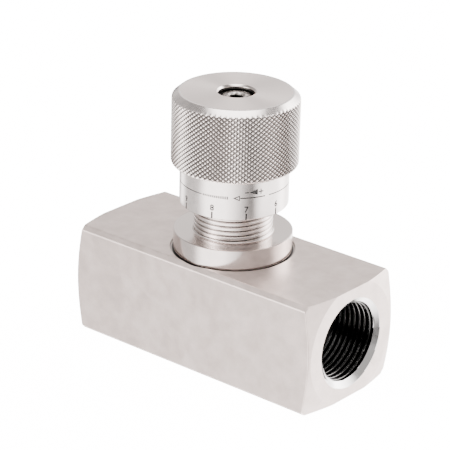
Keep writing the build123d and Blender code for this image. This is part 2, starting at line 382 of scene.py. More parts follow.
class Paint(Nodes):
    """One procedural material."""

    def __init__(self, name, color, roughness, metallic=1.0):
        self.material = bpy.data.materials.new(name)
        self.material.use_nodes = True
        super().__init__(self.material.node_tree)
        self.shader = self.tree.nodes["Principled BSDF"]
        self.surface("Metallic", metallic)
        self.color(opaque(color))
        self.roughness(roughness)
        self.coordinates = self.node("ShaderNodeTexCoord").outputs["Object"]

    def surface(self, name, value):
        self.feed(self.shader.inputs[name], value)

    def color(self, value):
        self.surface("Base Color", value)

    def roughness(self, value):
        self.surface("Roughness", value)

    def noise(self, scale, detail=3.0, roughness=0.5, vector=None):
        inputs = {"Scale": scale, "Detail": detail, "Roughness": roughness}
        inputs["Vector"] = vector or self.coordinates
        return self.node("ShaderNodeTexNoise", inputs).outputs[0]

    def lines(self, value, scale, detail=2.0):
        """Noise along one value only: turned or drawn lines."""
        return self.noise(scale, detail, vector=self.node("ShaderNodeCombineXYZ", {0: value}).outputs[0])

    def bump(self, *layers):
        """Stack (height output, strength, distance in millimetres) layers into the normal."""
        normal = None
        for height, strength, distance in layers:
            inputs = {"Height": height, "Strength": strength, "Distance": distance * MM}
            if normal is not None:
                inputs["Normal"] = normal
            normal = self.node("ShaderNodeBump", inputs).outputs[0]
        self.surface("Normal", normal)

    def axes(self):
        """Object coordinates, apart."""
        return self.node("ShaderNodeSeparateXYZ", {0: self.coordinates}).outputs

    def radius(self, center_z=None):
        """Distance from the Z axis, or from the ports' axis at the given height, in metres."""
        axes = self.axes()
        if center_z is None:
            first, second = axes["X"], axes["Y"]
        else:
            first, second = axes["Y"], self.math("SUBTRACT", axes["Z"], center_z)
        squares = self.math("ADD", self.math("POWER", first, 2.0), self.math("POWER", second, 2.0))
        return self.math("SQRT", squares)

    def cloud(self, noise, roughness, bump, *under):
        """Uneven roughness and height from one noise, over other bump layers; returns the noise."""
        cloud = self.noise(*noise)
        self.roughness(self.spread(cloud, *roughness))
        self.bump(*under, (cloud, *bump))
        return cloud

    def turned(self, low, high, tool_strength):
        """Lathe lines along the profile and scattered dull spots; returns the spots."""
        along = self.math("ADD", self.axes()["Z"], self.radius())
        tool = self.lines(along, 9000)
        return self.cloud((420, 4, 0.65), (low, high), (0.05, 0.02), (tool, tool_strength, 0.01))


def bar_steel():
    """Satin plated bar: faint warm mottle, fine drawn grain along the bar."""
    paint = Paint("bar_steel", (0.75, 0.655, 0.62), 0.4)
    mottle = paint.noise(170, 5, 0.62)
    paint.color(paint.ramp(mottle, [(0.36, (0.68, 0.59, 0.555)), (0.64, (0.80, 0.70, 0.665))]))
    inputs = {"Vector": paint.coordinates, "Scale": (350, 2600, 2600)}
    grain = paint.noise(1.0, 2, 0.5, paint.node("ShaderNodeMapping", inputs).outputs[0])
    paint.cloud((330, 4, 0.6), (0.30, 0.46), (0.10, 0.05), (grain, 0.10, 0.03))
    return paint.material


def bore_steel():
    """Machined bores: painted shadow round the collar's foot, lighter to the spot face's edge, painted
    shade on the ports' floors.
    """
    paint = Paint("bore_steel", (0.4, 0.39, 0.38), 0.35)
    outward = paint.math("DIVIDE", paint.radius(), 2 * spot_face_radius * MM)
    bright = (0.46, 0.42, 0.40)
    # painted shadow: near black from 17 to 18.3 mm out, round the collar's foot; painted shade: dark from
    # 25 mm out, on the ports' floors
    paint.color(paint.ramp(outward, [(0.3, 0.3), (0.45, 0.02), (0.484, 0.02), (0.491, bright),
                                     (0.56, bright), (0.66, 0.10)]))
    paint.cloud((900, 3, 0.6), (0.3, 0.5), (0.15, 0.03))
    return paint.material


def port_steel():
    """Tapped wall: bright crests and countersink, grooves darkened as painted shade, and a painted dark
    reflection in a band along the wall.
    """
    paint = Paint("port_steel", (0.5, 0.5, 0.5), 0.3)
    axes = paint.axes()
    radius = paint.radius(port_height * MM)
    crest, root = port_minor * MM, port_major * MM
    depth = paint.math("DIVIDE", paint.math("SUBTRACT", radius, crest), root - crest)

    # the countersink is a cone, so it is bright at any radius
    from_mouth = paint.math("SUBTRACT", half_length * MM, paint.math("ABSOLUTE", axes["X"]))
    cone_depth = (port_countersink - port_minor) / countersink_slope
    on_cone = paint.math("LESS_THAN", from_mouth, cone_depth * MM)
    reach = paint.math("ADD", radius, paint.math("MULTIPLY", from_mouth, countersink_slope))
    beyond = paint.math("GREATER_THAN", reach, (port_countersink - 0.03) * MM)
    inside = paint.math("SUBTRACT", 1.0, paint.math("MULTIPLY", on_cone, beyond))
    groove = paint.math("MULTIPLY", depth, inside)
    # painted shade: the grooves darken with depth to near black, the countersink kept out
    threads = paint.ramp(groove, [(0.0, 0.80), (0.05, 0.32), (0.15, 0.025), (0.9, 0.006)])

    # painted reflection: a near black band along the wall, where the threads would mirror a dark stretch of
    # the room
    band_height = port_height - 3.6
    off_band = paint.math("ABSOLUTE", paint.math("SUBTRACT", axes["Z"], band_height * MM))
    clear_of_dark_band = paint.fade(off_band, 1.0 * MM, 3.6 * MM)
    painted_dark_band = paint.math("MULTIPLY", paint.math("SUBTRACT", 1.0, clear_of_dark_band), inside)
    paint.color(paint.mix(paint.math("MULTIPLY", painted_dark_band, 0.96), threads, opaque(0.008)))
    paint.cloud((700, 3, 0.6), (0.10, 0.22), (0.12, 0.03))
    return paint.material


def turned_steel(name, color, low, high, tool_strength=0.10):
    """Bright turned steel with fine tool lines and a few dull spots."""
    paint = Paint(name, color, (low + high) / 2)
    spots = paint.turned(low, high, tool_strength)
    paint.color(paint.ramp(spots, [(0.3, darker(color, 0.9)), (0.6, color)]))
    return paint.material


def thread_steel(color, groove_color, low, high):
    """Turned steel, darker the deeper into its thread grooves."""
    paint = Paint("thread_steel", color, (low + high) / 2)
    spots = paint.turned(low, high, 0.08)
    below_crest = paint.math("SUBTRACT", sleeve_crest * MM, paint.radius())
    depth = paint.math("DIVIDE", below_crest, (sleeve_crest - sleeve_root) * MM)
    uneven = paint.math("ADD", depth, paint.spread(spots, -0.15, 0.15))
    middle = tuple(0.5 * (c + g) for c, g in zip(color, groove_color))
    paint.color(paint.ramp(uneven, [(0.12, color), (0.55, middle), (0.95, groove_color)]))
    return paint.material


def knurl_steel():
    """Knurled grip: bright worn flats, darker the deeper into the grooves."""
    color, groove_color = (0.94, 0.89, 0.87), (0.10, 0.092, 0.088)
    paint = Paint("knurl_steel", color, 0.26)
    spots = paint.cloud((420, 4, 0.65), (0.18, 0.30), (0.05, 0.02))

    # depth under the grip's envelope, which has a chamfer at each end
    height = paint.axes()["Z"]
    below = paint.math("SUBTRACT", height, (knurl_bottom - knurl_radius) * MM)
    fall = paint.math("MULTIPLY", paint.math("SUBTRACT", height, knurl_top * MM), knob_chamfer_slope)
    above = paint.math("SUBTRACT", knurl_radius * MM, fall)
    envelope = paint.math("MINIMUM", paint.math("MINIMUM", below, above), knurl_radius * MM)
    depth = paint.math("DIVIDE", paint.math("SUBTRACT", envelope, paint.radius()), knurl_depth * MM)
    uneven = paint.math("ADD", depth, paint.spread(spots, -0.1, 0.1))
    paint.color(paint.ramp(uneven, [(0.14, color), (0.46, (0.42, 0.39, 0.375)), (0.86, groove_color)]))
    return paint.material


def face_turned_steel(name, color, low, high, ring_strength):
    """Flat faced on the lathe, so that its fine rings spread the light in fans."""
    paint = Paint(name, color, (low + high) / 2)
    paint.surface("Anisotropic", 0.8)
    paint.surface("Anisotropic Rotation", 0.25)
    paint.surface("Tangent", paint.node("ShaderNodeTangent", direction_type="RADIAL", axis="Z").outputs[0])
    rings = paint.lines(paint.radius(), 5200, 3)
    paint.color(paint.ramp(rings, [(0.3, darker(color, 0.84)), (0.7, color)]))
    paint.roughness(paint.spread(rings, low, high))
    paint.bump((rings, ring_strength, 0.01))
    return paint.material


def hole_steel():
    """Tapped hole in the knob and the set screw's flank: painted shade, near black with faint thread bands.
    """
    paint = Paint("hole_steel", (0.05, 0.05, 0.05), 0.35)
    pitch = 1.0 * MM
    bands_per_scale = 20 / TURN     # the wave texture's bands per metre at a scale of one
    inputs = {"Scale": 1 / bands_per_scale / pitch, "Distortion": 0.4, "Vector": paint.coordinates}
    threads = paint.node("ShaderNodeTexWave", inputs, wave_type="BANDS", bands_direction="Z").outputs["Fac"]
    # painted shade: near black throughout, with faint lighter thread bands
    paint.color(paint.ramp(threads, [(0.3, 0.008), (0.9, (0.07, 0.068, 0.065))]))
    paint.cloud((900, 3, 0.6), (0.25, 0.45), (0.1, 0.02), (threads, 0.6, 0.2))
    return paint.material


def engraving_ink():
    """Dark residue in the engraved marks."""
    paint = Paint("engraving_ink", (0.01, 0.0095, 0.009), 0.6, metallic=0.0)
    paint.surface("Specular IOR Level", 0.08)
    wear = paint.cloud((2600, 4, 0.7), (0.5, 0.75), (0.2, 0.02))
    paint.color(paint.ramp(wear, [(0.35, (0.006, 0.0057, 0.0055)), (0.75, (0.03, 0.028, 0.027))]))
    return paint.material


def worn_steel():
    """Face of the zero screw: dull, with dark blotches of oil."""
    paint = Paint("worn_steel", (0.6, 0.56, 0.54), 0.35)
    stain = paint.cloud((1100, 4, 0.65), (0.25, 0.45), (0.2, 0.05))
    paint.color(paint.ramp(stain, [(0.4, (0.10, 0.095, 0.09)), (0.58, (0.62, 0.58, 0.56))]))
    return paint.material


def plain_metal(name, color, low, high):
    """Hidden hard parts: ground or drawn metal."""
    paint = Paint(name, color, (low + high) / 2)
    cloud = paint.cloud((900, 4, 0.6), (low, high), (0.12, 0.02))
    paint.color(paint.ramp(cloud, [(0.3, darker(color, 0.8)), (0.65, color)]))
    return paint.material


def soft_material(name, color, low, high):
    """Seals: rubber or plastic."""
    paint = Paint(name, color, (low + high) / 2, metallic=0.0)
    cloud = paint.cloud((1500, 4, 0.6), (low, high), (0.2, 0.03))
    paint.color(paint.ramp(cloud, [(0.35, darker(color, 0.75)), (0.65, color)]))
    return paint.material


turned_color = (0.80, 0.735, 0.71)

BAR = bar_steel()
BORE = bore_steel()
PORT = port_steel()
TURNED = turned_steel("turned_steel", turned_color, 0.12, 0.22, 0.06)
THREAD = thread_steel(turned_color, (0.20, 0.185, 0.175), 0.12, 0.22)
SKIRT = turned_steel("skirt_steel", (0.93, 0.88, 0.86), 0.18, 0.28)
KNURL = knurl_steel()
HOLE = hole_steel()
FACED = face_turned_steel("faced_steel", (0.95, 0.865, 0.83), 0.26, 0.40, 0.22)
COLLAR_TOP = face_turned_steel("collar_top_steel", (0.74, 0.68, 0.655), 0.14, 0.24, 0.12)
WORN = worn_steel()
INK = engraving_ink()
POLISHED = turned_steel("polished_steel", (0.80, 0.79, 0.78), 0.08, 0.16)
HARDENED = plain_metal("hardened_steel", (0.50, 0.50, 0.50), 0.22, 0.36)
SPRING = plain_metal("spring_steel", (0.42, 0.42, 0.43), 0.25, 0.4)
BRONZE = plain_metal("bush_bronze", (0.66, 0.45, 0.22), 0.25, 0.4)
RUBBER = soft_material("seal_rubber", (0.035, 0.035, 0.035), 0.45, 0.65)
PTFE = soft_material("seal_plastic", (0.82, 0.81, 0.78), 0.4, 0.55)


# ---- bar body ----


def chamfered_section():
    """Points (across, up) round the bar's section about the ports' axis: chamfered, arrises softened."""
    y, z, c = half_width, port_height, long_edge_chamfer
    corners = []
    for side_y, side_z in ((1, -1), (1, 1), (-1, 1), (-1, -1)):
        pair = [(side_y * (y - c), side_z * z, arris), (side_y * y, side_z * (z - c), arris)]
        corners += pair if side_y * side_z < 0 else pair[::-1]
    return np.array(softened(corners, 5))


def bar_outline():
    """Angles about the ports' axis and the bar's radius there."""
    section = chamfered_section()
    corner_angles = np.arctan2(section[:, 1], section[:, 0]) % TURN
    angles = np.unique(np.round(np.concatenate([even_angles(240), corner_angles]), 9))
    following = np.roll(section, -1, axis=0)
    reach = []
    for angle in angles:
        outward = np.array([math.cos(angle), math.sin(angle)])
        side = section[:, 1] * outward[0] - section[:, 0] * outward[1]
        next_side = following[:, 1] * outward[0] - following[:, 0] * outward[1]
        ahead = (section + following) @ outward > 0
        crossed = np.nonzero(ahead & (side <= 1e-9) & (next_side > 1e-9))[0][0]
        share = side[crossed] / (side[crossed] - next_side[crossed])
        point = section[crossed] * (1 - share) + following[crossed] * share
        reach.append(point @ outward)
    return angles, np.array(reach)


def end_setback(radius):
    return cone_slope * np.maximum(radius - land_radius, 0)


def port_rings(shell, angles, side):
    """Countersunk thread of one port, from its floor to its mouth, and the drilled floor."""
    mouth, floor = half_length, half_length - port_depth
    plain_depth, runout = 0.6, 2.2  # unthreaded stretch at the floor, and the thread's runout over it

    def radius_at(phase, along):
        depth = mouth - along if side > 0 else mouth + along
        radius = port_major - (port_major - port_minor) * thread_shape(phase, *port_flats)
        radius = min(radius, port_minor + max(0.0, port_depth - depth - plain_depth) / runout)
        return max(radius, port_countersink - depth * countersink_slope, port_minor)

    low, high = (floor, mouth) if side > 0 else (-mouth, -floor)
    shell.use(PORT)
    first, last = thread_rings(shell, about_port, angles, low, high, port_pitch, radius_at, 12)
    shell.use(BORE)
    floor_rings = [first if side > 0 else last]
    for radius in (port_minor * 0.6, port_minor * 0.2):
        floor_rings.append(shell.ring(about_port(angles, radius, side * floor)))
    shell.strips(floor_rings)
    shell.face(floor_rings[-1])


def bar_body():
    """Bar with coned ends, tapped ports, cartridge bore and passages."""
    angles, reach = bar_outline()
    shell = Shell(BAR, PORT, BORE)

    # from the countersink over the flat land and the cone to the end of the rounded edge
    inner_edge = reach - edge_break
    land = np.minimum(land_radius, inner_edge)
    past_land = np.minimum(land + 0.15, inner_edge)
    start = np.stack([inner_edge, half_length - end_setback(inner_edge)])
    corner = np.stack([reach, half_length - end_setback(reach)])
    end = np.stack([reach, half_length - end_setback(reach) - edge_break])
    half = [(np.full_like(reach, port_countersink), half_length), (land, half_length),
            (past_land, half_length - end_setback(past_land)), tuple(start)]
    for t in (0.25, 0.5, 0.75, 1.0):
        half.append(tuple(curve(t, start, corner, end)))

    rings = []
    for side in (-1, 1):
        made = [shell.ring(about_port(angles, radius, side * along)) for radius, along in half]
        rings += made if side < 0 else made[::-1]
    shell.strips(rings)
    for side in (-1, 1):
        port_rings(shell, angles, side)
    body = shell.build("valve_body_block")

    spot_floor = collar_low[2]
    rim_radius, past_top = spot_face_radius + 0.25, body_height + 2
    bore = turned_cutter([
        (0.0, nose_bore_floor), (nose_bore_radius, nose_bore_floor), (nose_bore_radius, nose_shoulder),
        (chamber_radius, nose_shoulder), (chamber_radius, thread_shoulder),
        (sleeve_bore_radius, thread_shoulder), (sleeve_bore_radius, spot_floor),
        (spot_face_radius, spot_floor), (spot_face_radius, body_height - 0.14),
        (rim_radius, body_height + 0.11), (rim_radius, past_top), (0.0, past_top),
    ], 216)
    past_floor = half_length - port_depth + 1
    low = rod("low_cut", (-past_floor, 0, low_passage_height),
              (low_passage_radius, 0, low_passage_height), low_passage_radius, BORE)
    high = rod("high_cut", (past_floor, 0, high_passage_height),
               (nose_bore_radius, 0, high_passage_height), high_passage_radius, BORE)
    carve(body, bore, low, high)
    return shade(body)


def turned_cutter(outline, count):
    """Closed solid of revolution whose outline starts and ends on the axis."""
    shell = Shell(BORE)
    angles = even_angles(count)
    rings = lathe(shell, [(max(radius, 0.02), height) for radius, height in outline], angles)
    shell.face(rings[0])
    shell.face(rings[-1])
    return shell.build("cutter")


# ---- collar and cartridge sleeve ----


def collar():
    """Round lock collar: polished wall, softened rims, faced top with a fine bead round the sleeve."""
    low, high = collar_low[2], collar_high[2] - collar_lip
    outer = collar_high[0]
    inner = sleeve_bore_radius
    angles = even_angles(240)
    shell = Shell(TURNED, COLLAR_TOP)
    wall = lathe(shell, softened([
        (inner, low + 0.3), (inner + 0.3, low), (outer - 0.35, low, 0.1), (outer, low + 0.35, 0.2),
        (outer, high - 0.12), (outer - 0.06, high - 0.10), (outer - 0.28, high, 0.08), (outer - 0.45, high),
    ]), angles)
    shell.use(COLLAR_TOP)
    top = shell.ring(about_z(angles, inner + 0.55, high))
    shell.strip(wall[-1], top)
    shell.use(TURNED)
    bead = lathe(shell, [
        (inner + 0.4, high + 0.05), (inner + 0.25, high + 0.14), (inner + 0.14, high + 0.27),
        (inner + 0.1, high + collar_lip), (inner, high + collar_lip),
    ], angles)
    shell.strip(top, bead[0])
    shell.strip(bead[-1], wall[0])
    return shade(shell.build("lock_collar_ring"))


def sleeve():
    """Threaded cartridge sleeve: nose, cage with windows, flange, long M24 thread, bored inside."""
    angles = even_angles(144)
    low, high = sleeve_low[2], sleeve_high[2]
    stop_low, stop_high = 65.95, 67.05
    stop_groove = 11.2

    def radius_at(phase, height):
        radius = sleeve_crest - (sleeve_crest - sleeve_root) * thread_shape(phase, *sleeve_flats)
        radius = min(radius, sleeve_root + max(0.0, high - height) * 1.0)
        radius = min(radius, sleeve_root + max(0.0, height - thread_shoulder) * 1.2)
        if stop_low < height < stop_high:
            radius = min(radius, stop_groove)
        return radius

    shell = Shell(THREAD)
    first, last = thread_rings(shell, about_z, angles, thread_shoulder, high, sleeve_pitch, radius_at, 14)
    flange, flange_groove, nose, nose_groove = 10.95, 9.5, 9.45, 8.0
    seat_bore, snap_groove, poppet_bore = 6.9, 7.5, 6.0
    guide_bore, stem_bore, gland_bore, spring_bore = 5.0, 3.4, 6.5, 9.3
    outline = softened([
        # outside, down from the thread
        (flange, thread_shoulder), (flange, 28.6), (flange_groove, 28.6), (flange_groove, 27.0),
        (flange, 27.0), (flange, 26.6, 0.1), (nose, 26.6), (nose, 17.8, 0.05), (nose_groove, 17.8),
        (nose_groove, 14.8), (nose, 14.8, 0.05), (nose, low + 0.4, 0.1), (nose - 0.4, low, 0.1),
        # inside, up from the nose
        (seat_bore, low), (seat_bore, 13.4), (snap_groove, 13.4), (snap_groove, 14.2), (seat_bore, 14.2),
        (seat_bore, 17.2), (poppet_bore, 17.2), (poppet_bore, 38.0), (guide_bore, 38.0), (guide_bore, 42.0),
        (stem_bore, 42.0), (stem_bore, 43.0), (guide_bore, 43.0), (guide_bore, 47.0), (gland_bore, 47.0),
        (gland_bore, 51.5), (spring_bore, 51.5), (spring_bore, high - 0.3, 0.1),
        (spring_bore + 0.3, high, 0.1),
    ])
    rings = lathe(shell, outline, angles)
    shell.strip(rings[0], first)
    shell.strip(last, rings[-1])
    piece = shell.build("cartridge_sleeve_threaded")
    windows = []
    window_radius = 3.0
    middle = Vector((0, 0, high_passage_height))
    for i in range(6):
        angle = TURN * i / 6
        outward = Vector((math.cos(angle), math.sin(angle), 0))
        ends = middle + outward * 3.0, middle + outward * 12.0
        windows.append(rod(f"window_{i}", *ends, window_radius, THREAD, 48))
    carve(piece, *windows)
    return shade(piece)


# ---- knob ----


def knurl_height(step_around, step_up):
    """0 in a groove and 1 on a diamond's flat, at grid steps of a sixth of the knurl's pitch."""
    shallow = 1.0
    for steps in (step_around + step_up, step_around - step_up):
        from_groove = min(steps % 6, -steps % 6)
        shallow = min(shallow, from_groove / 2.7)
    return shallow


def knurled_band(shell, angles):
    """Diamond knurl between the knob's two chamfers; returns its lowest and highest ring."""
    step = knurl_height_pitch / 6
    low, high = knurl_bottom - 0.36, knurl_top + 0.32
    row_count = int((high - low) / step) + 1
    grid, radii = [], []
    pattern = np.array([[knurl_height(i, k) for i in range(6)] for k in range(6)])
    for k in range(row_count):
        height = low + k * step
        shape = np.tile(pattern[k % 6], len(angles) // 6)
        radius = knurl_radius - knurl_depth * (1 - shape)
        radius = np.minimum(radius, knurl_radius - (knurl_bottom - height))
        radius = np.minimum(radius, knurl_radius - (height - knurl_top) * knob_chamfer_slope)
        radii.append(radius)
        grid.append(shell.ring(about_z(angles, radius, height)))
    count = len(angles)
    for k in range(row_count - 1):
        for i in range(count):
            j = (i + 1) % count
            a, b, c, d = grid[k][i], grid[k][j], grid[k + 1][j], grid[k + 1][i]
            rising = abs(radii[k][i] - radii[k + 1][j])
            falling = abs(radii[k][j] - radii[k + 1][i])
            if rising <= falling:
                shell.face((a, b, c))
                shell.face((a, c, d))
            else:
                shell.face((a, b, d))
                shell.face((b, c, d))
    return grid[0], grid[-1]


def knob():
    """Thimble knob: graduated skirt, knurled grip, faced top with the zero screw's hole."""
    fine = even_angles(6 * knurl_count)
    coarse = even_angles(2 * knurl_count)
    shell = Shell(SKIRT, KNURL, FACED, TURNED, HOLE)

    # skirt and the step under the grip
    skirt = lathe(shell, softened([
        (13.6, knob_bottom), (skirt_radius - 0.35, knob_bottom, 0.12),
        (skirt_radius, knob_bottom + 0.35, 0.12), (skirt_radius, knurl_bottom - 0.7),
        (knurl_radius - 0.7, knurl_bottom - 0.7, 0.08),
        (knurl_radius - 0.5, knurl_bottom - 0.5),
    ]), fine)

    # knurled grip
    shell.use(KNURL)
    grip_low, grip_high = knurled_band(shell, fine)
    shell.strip(skirt[-1], grip_low)

    # chamfer and faced top
    shell.use(SKIRT)
    rim = lathe(shell, softened([
        (knurl_radius - 0.9, knurl_top + 0.9 / knob_chamfer_slope), (knob_flat_radius, knob_top, 0.25),
        (knob_flat_radius - 0.6, knob_top),
    ]), fine)
    shell.strip(grip_high, rim[0])
    shell.use(FACED)
    top_inner = shell.ring(about_z(coarse, screw_hole_radius + 0.75, knob_top))
    shell.step_down(rim[-1], top_inner)

    # hole, boss, relief and bore, down to the skirt's lower edge
    shell.use(TURNED)
    mouth = lathe(shell, softened([
        (screw_hole_radius + 0.55, knob_top, 0.12), (screw_hole_radius, knob_top - 0.55, 0.1),
        (screw_hole_radius, knob_top - 0.75),
    ]), coarse)
    shell.strip(top_inner, mouth[0])
    boss, boss_low = 8.5, 73.3
    relief, relief_low, relief_high = 13.4, 64.2, 78.2
    inside = lathe(shell, softened([
        (screw_hole_radius, boss_low), (boss, boss_low, 0.3), (boss, relief_high), (relief, relief_high),
        (relief, relief_low), (knob_bore, relief_low), (knob_bore, knob_bottom + 0.9),
        (12.9, knob_bottom, 0.1),
    ]), coarse)
    # the screw hole's wall, in painted shade
    shell.use(HOLE)
    shell.strip(mouth[-1], inside[0])
    shell.use(TURNED)
    shell.step_down(skirt[0], inside[-1])
    piece = shell.build("knurled_knob")
    carve(piece, dial_cutter())
    return shade(piece, 28)


# ---- engraved dial ----

dial_front = -50.2              # degrees about Z of the arrow's head
dial_mark = 7                   # the number beside the arrow's head, and its angle
dial_mark_angle = dial_front + 13.0
dial_spacing = 36.0
dial_line_height = knob_bottom + 7.2
tick_low, tick_high = knob_bottom + 0.2, knob_bottom + 2.3
tick_half, stroke_half = 0.26, 0.17
dash_count, dash_step, dash_length = 13, 2.2, 1.3
digit_low = knob_bottom + 2.75
digit_size = 2.55


class Stamp(Shell):
    """Flat outlines wrapped on the skirt, thick enough to cut its wall."""

    inner = skirt_radius - engraving_depth
    outer = skirt_radius + 0.25

    def wrapped(self, center, corners, radius):
        """Ring of (across, height) corners in millimetres, laid round an angle in degrees."""
        across, heights = np.array(corners).T
        return self.ring(about_z(math.radians(center) + across / skirt_radius, radius, heights))

    def bar(self, center, corners):
        """Prism over an outline of (across, height) corners."""
        self.capped([self.wrapped(center, corners, radius) for radius in (self.inner, self.outer)])

    def box(self, center, left, right, low, high):
        self.bar(center, [(left, low), (right, low), (right, high), (left, high)])

    def arc(self, start, end, height, width):
        """Line round the skirt between two angles in degrees."""
        steps = max(2, int(abs(end - start) / 1.5))
        angles = np.radians(np.linspace(start, end, steps + 1))
        radii = np.array((self.inner, self.outer, self.outer, self.inner))
        heights = height + width / 2 * np.array((-1, -1, 1, 1))
        self.capped([self.ring(about_z(np.full(4, angle), radii, heights)) for angle in angles])

    def outline(self, center, outer, inner):
        """Closed line between two similar outlines of (across, height) corners."""
        walls = ((outer, self.inner), (outer, self.outer), (inner, self.outer), (inner, self.inner))
        rings = [self.wrapped(center, corners, radius) for corners, radius in walls]
        self.strips([*rings, rings[0]])


def digit_mesh(text):
    """Outline of one number as a flat mesh, one unit high."""
    text_curve = bpy.data.curves.new("number", "FONT")
    text_curve.body = text
    text_curve.align_x = "CENTER"
    text_curve.resolution_u = 3
    text_curve.offset = 0.0 if text == "4" else 0.032  # bolder, but the 4's outline would cross itself
    holder = add_object("number", text_curve)
    bpy.context.view_layer.update()
    graph = bpy.context.evaluated_depsgraph_get()
    mesh = bpy.data.meshes.new_from_object(holder.evaluated_get(graph))
    bpy.data.objects.remove(holder)
    return mesh


def stamp_digit(stamp, text, center):
    """Wrap a number's outline on the skirt as a closed prism."""
    mesh = digit_mesh(text)
    bm = bmesh.new()
    bm.from_mesh(mesh)
    bmesh.ops.remove_doubles(bm, verts=bm.verts, dist=1e-5)
    flat = [(v.co.x * digit_size, digit_low + v.co.y * digit_size) for v in bm.verts]
    index = {v: i for i, v in enumerate(bm.verts)}
    layers = [stamp.wrapped(center, flat, radius) for radius in (Stamp.inner, Stamp.outer)]
    for face in bm.faces:
        corners = [index[v] for v in face.verts]
        stamp.face([layers[1][c] for c in corners])
        stamp.face([layers[0][c] for c in reversed(corners)])
    for edge in bm.edges:
        if len(edge.link_faces) == 1:
            a, b = (index[v] for v in edge.verts)
            stamp.face((layers[0][a], layers[0][b], layers[1][b], layers[1][a]))
    bm.free()


def dial_cutter():
    """Everything that is engraved on the skirt: scale, line, arrow and sign."""
    stamp = Stamp(INK)
    for number in range(10):
        angle = dial_mark_angle - dial_spacing * (number - dial_mark)
        stamp.box(angle, -tick_half, tick_half, tick_low, tick_high)
        stamp_digit(stamp, str(number), angle)

    # line round the skirt, broken into dashes in front of the arrow
    stamp.arc(dial_front + 38.5, dial_front + 360 - 35.5, dial_line_height, 0.28)
    for i in range(dash_count):
        start = dial_front - 34.0 + dash_step * i
        stamp.arc(start, start + dash_length, dial_line_height, 0.52 + 0.035 * i)

    # hollow-headed arrow that points the closing way
    across = math.radians(1) * skirt_radius
    tip, base, tail = -1.4 * across, 6.0 * across, 33.6 * across
    half, rim = 0.88, 0.25
    level = dial_line_height
    inner_tip, inner_base, inner_half = tip + rim * 3.3, base - rim, half - rim * 1.9
    stamp.outline(dial_front, [(tip, level), (base, level - half), (base, level + half)],
                  [(inner_tip, level), (inner_base, level - inner_half), (inner_base, level + inner_half)])
    for left, right in ((base + 0.1, (base + tail) / 2), ((base + tail) / 2 + 0.02, tail)):
        stamp.box(dial_front, left, right, level - stroke_half, level + stroke_half)

    # less-to-more sign over the arrow
    sign_low, sign_high = level + 0.75, level + 2.6
    middle = (sign_low + sign_high) / 2
    plus, arm, thick = 28.6 * across, 0.8, stroke_half
    narrow, wide = 16.5 * across, 25.0 * across
    stamp.box(dial_front, 11.0 * across, 15.2 * across, middle - thick, middle + thick)
    wedge = [(narrow, middle - 0.1), (wide, sign_low), (wide, sign_high), (narrow, middle + 0.1)]
    stamp.bar(dial_front, wedge)
    quarter, cross = [(-arm, -thick), (-thick, -thick), (-thick, -arm)], []
    for _ in range(4):
        cross += [(plus + x, middle + y) for x, y in quarter]
        quarter = [(-y, x) for x, y in quarter]
    stamp.bar(dial_front, cross)
    return stamp.build("dial_cutter")


# ---- zero screw ----


def zero_screw():
    """Set screw with a hexagon socket and a ball pocket."""
    low, high = screw_low[2], screw_high[2]
    radius = screw_high[0]
    angles = even_angles(96)
    flats = hex_across_flats / 2 / np.cos((angles - hex_turn) % (TURN / 6) - TURN / 12)
    shell = Shell(WORN, HOLE)
    # flank and top chamfer in painted shade, a dark ring round the screw's face
    shell.use(HOLE)
    outside = lathe(shell, softened([
        (2.05, 75.95), (2.05, low), (radius - 0.7, low, 0.1), (radius, low + 0.7, 0.1),
        (radius, high - 1.25, 0.1), (radius - 1.15, high - 0.1),
    ]), angles)
    shell.face(outside[0])
    shell.use(WORN)
    top = lathe(shell, softened([(radius - 1.25, high, 0.05), (2.9, high), (2.65, high)]), angles)
    shell.strip(outside[-1], top[0])
    socket = [top[-1]]
    for radii, height in ((np.maximum(flats, 2.3), high - 0.28), (flats, high - 0.45)):
        socket.append(shell.ring(about_z(angles, radii, height)))
    shell.strips(socket)
    # the socket's depth in painted shade
    shell.use(HOLE)
    deep = [socket[-1]]
    for radii, height in ((flats, high - 3.9), (flats * 0.5, high - 4.3), (flats * 0.05, high - 4.5)):
        deep.append(shell.ring(about_z(angles, radii, height)))
    shell.strips(deep)
    shell.face(deep[-1])
    return shade(shell.build("zero_set_screw"), 30)


# ---- springs ----


def coil_spring(name, mean_radius, wire_radius, low, high, active):
    """Compression spring with a closed turn at each end."""
    shell = Shell(SPRING)
    bottom, top = low + wire_radius, high - wire_radius
    turns = active + 2
    steps_per_turn = 36
    steps = int(turns * steps_per_turn)
    around = even_angles(12)
    rings = []
    closed_rise = 2 * wire_radius
    for i in range(steps + 1):
        turn = i / steps_per_turn
        if turn < 1:
            height = bottom + closed_rise * turn * turn
        elif turn > turns - 1:
            height = top - closed_rise * (turns - turn) ** 2
        else:
            height = bottom + closed_rise + (top - bottom - 2 * closed_rise) * (turn - 1) / active
        angle = TURN * turn
        radii = mean_radius + wire_radius * np.cos(around)
        heights = height + wire_radius * np.sin(around)
        rings.append(shell.ring(about_z(np.full_like(around, angle), radii, heights)))
    shell.capped(rings)
    return shade(shell.build(name), 50)


# ---- the object ----


def place(piece, body, node, slot):
    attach(piece, body)
    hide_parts(node)
    return piece


place(bar_body(), "valve_body", "body_block", "body_steel")
place(collar(), "valve_body", "lock_collar", "turned_steel")
place(sleeve(), "valve_body", "cartridge_sleeve", "turned_steel")
place(knob(), "handwheel", "knob", "knob_steel")
place(zero_screw(), "handwheel", "zero_screw", "polished_steel")

check_coil = place(coil_spring("check_valve_spring", 5.2, 0.35, 28.5, 38.0, 3.5),
                   "valve_body", "check_spring", "spring_steel")
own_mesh(check_coil)
return_coil = place(coil_spring("stem_return_spring", 5.5, 0.6, 51.5, 68.9, 5),
                    "valve_body", "return_spring", "spring_steel")
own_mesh(return_coil)

